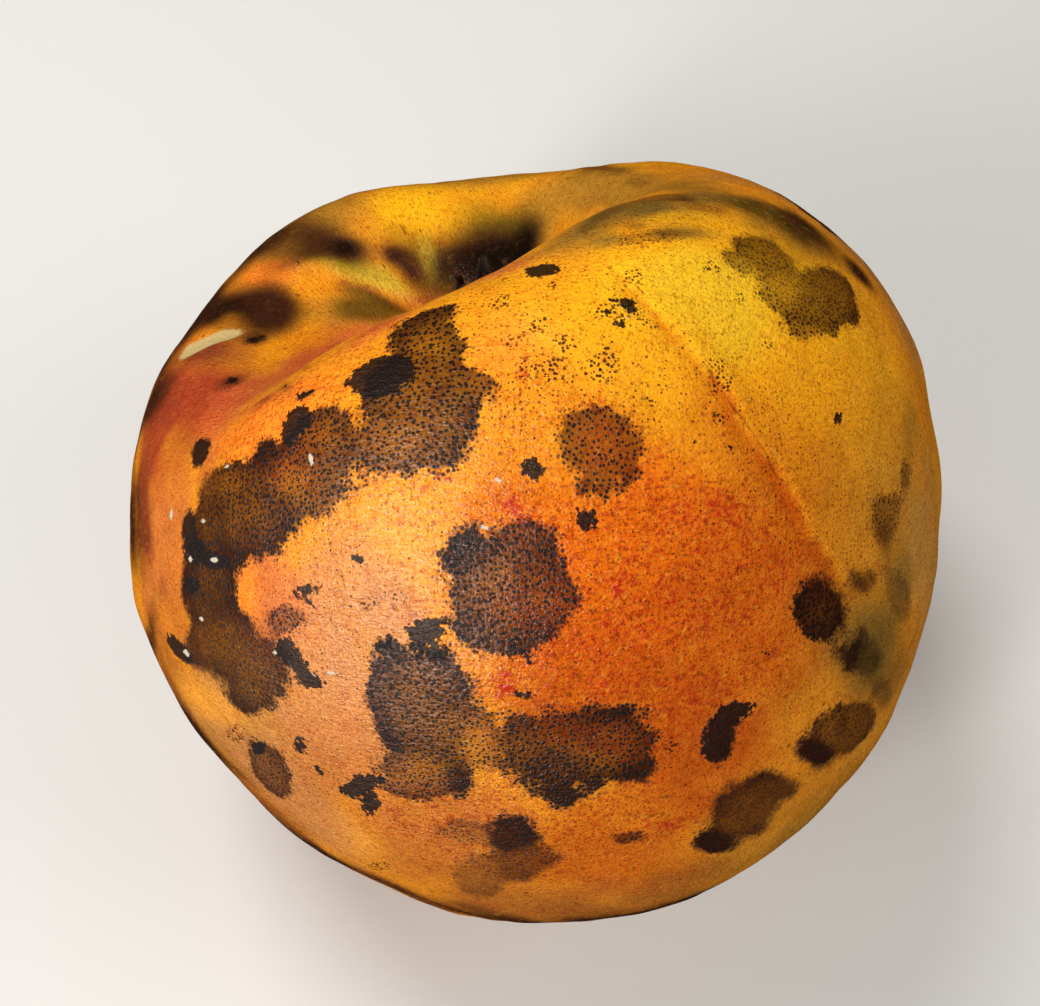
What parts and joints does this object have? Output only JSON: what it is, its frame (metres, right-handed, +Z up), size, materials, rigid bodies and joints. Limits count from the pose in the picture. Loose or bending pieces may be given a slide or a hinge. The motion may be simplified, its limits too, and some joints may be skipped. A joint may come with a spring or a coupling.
{
  "type": "heirloom apple",
  "caption": "Whole lopsided dessert apple with a ribbed, off-centre blossom basin, a dried calyx and a short stalk, lying on its lower cheek.",
  "frame": {"origin": "centre of the bounding box at its base, on the surface that the apple rests on", "axes": "+Z up, square to the flat spot it rests on; +X to the viewer's right and -Y towards the viewer, who looks at its cheek; the blossom end leans back towards +Y and a little to -X"},
  "size_m": [0.0772, 0.0772, 0.0769],
  "materials": {
    "skin": "waxy golden-orange apple skin with sooty brown blotches, fine dark dots and a soft satin gloss",
    "calyx": "dry, matt, nearly black withered sepals",
    "stalk": "matt brown fibrous wood"
  },
  "bodies": {
    "root": {"fruit": "skin", "calyx": "calyx", "stalk": "stalk"}
  },
  "joints": []
}
